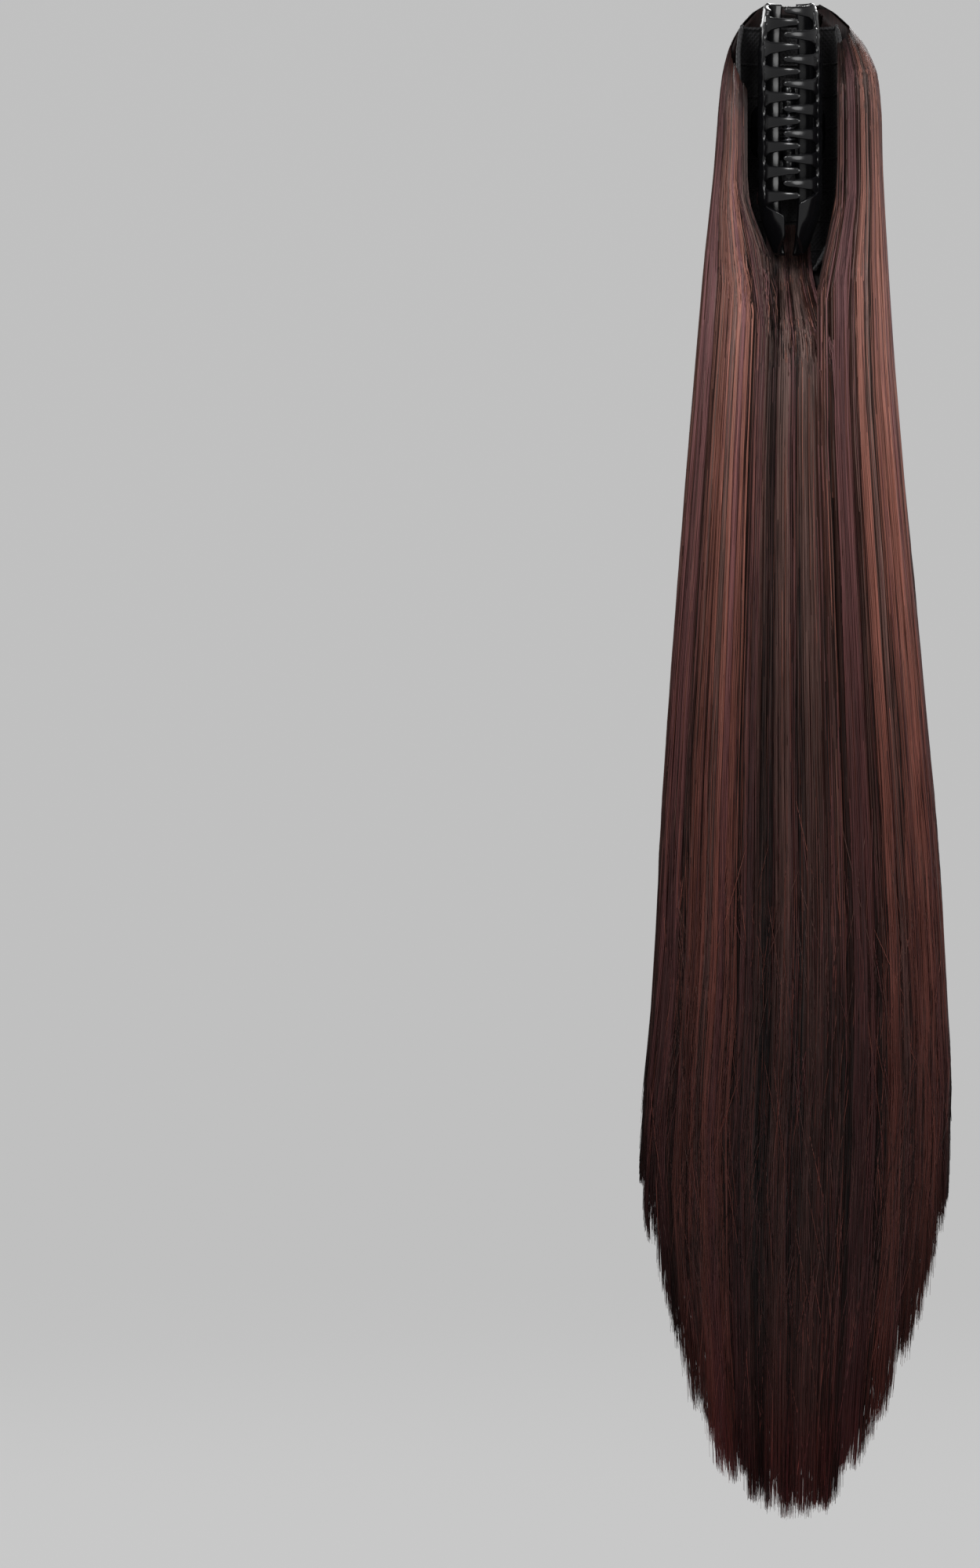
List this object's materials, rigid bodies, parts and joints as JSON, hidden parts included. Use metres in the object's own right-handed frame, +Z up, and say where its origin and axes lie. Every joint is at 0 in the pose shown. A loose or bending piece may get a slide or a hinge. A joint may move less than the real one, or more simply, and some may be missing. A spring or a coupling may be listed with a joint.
{
  "type": "claw clip ponytail hairpiece",
  "caption": "Long straight ponytail hairpiece of layered locks on a black trough-shaped base, with a sprung claw of interlacing curved teeth that opens by finger levers.",
  "frame": {"origin": "middle of the hollow that the claw grips, between the hinge pin and the tooth tips", "axes": "+Z up as the hairpiece hangs, the hair falls along -Z, -Y is the inner side that lies against the head, +X is to the right of a viewer of that side"},
  "size_m": [0.121, 0.0513, 0.593],
  "materials": {
    "claw_plastic": "moulded black plastic, glossy",
    "hinge_steel": "drawn wire",
    "base_net": "black stretch net over a stiff base",
    "hair_fibre": "smooth dark brown fibre with auburn strands, soft sheen"
  },
  "bodies": {
    "hairpiece": {"weft_cup": "base_net", "hinge_pin": "hinge_steel", "return_spring": "hinge_steel", "crown_hair": "hair_fibre", "side_hair_left": "hair_fibre", "side_hair_right": "hair_fibre", "inner_hair": "hair_fibre"},
    "claw_right": {"jaw_right": "claw_plastic"},
    "claw_left": {"jaw_left": "claw_plastic"}
  },
  "joints": [
    {"name": "claw_right_hinge", "type": "hinge", "parent": "hairpiece", "child": "claw_right", "pos_m": [0, 0.012, -0.008], "axis": [0, 0, 1], "range_deg": [0, 30], "stiffness_Nm_per_rad": 0.1, "springref_deg": -28.65},
    {"name": "claw_left_hinge", "type": "hinge", "parent": "hairpiece", "child": "claw_left", "pos_m": [0, 0.012, -0.008], "axis": [0, 0, -1], "range_deg": [0, 30], "stiffness_Nm_per_rad": 0.1, "springref_deg": -28.65}
  ]
}
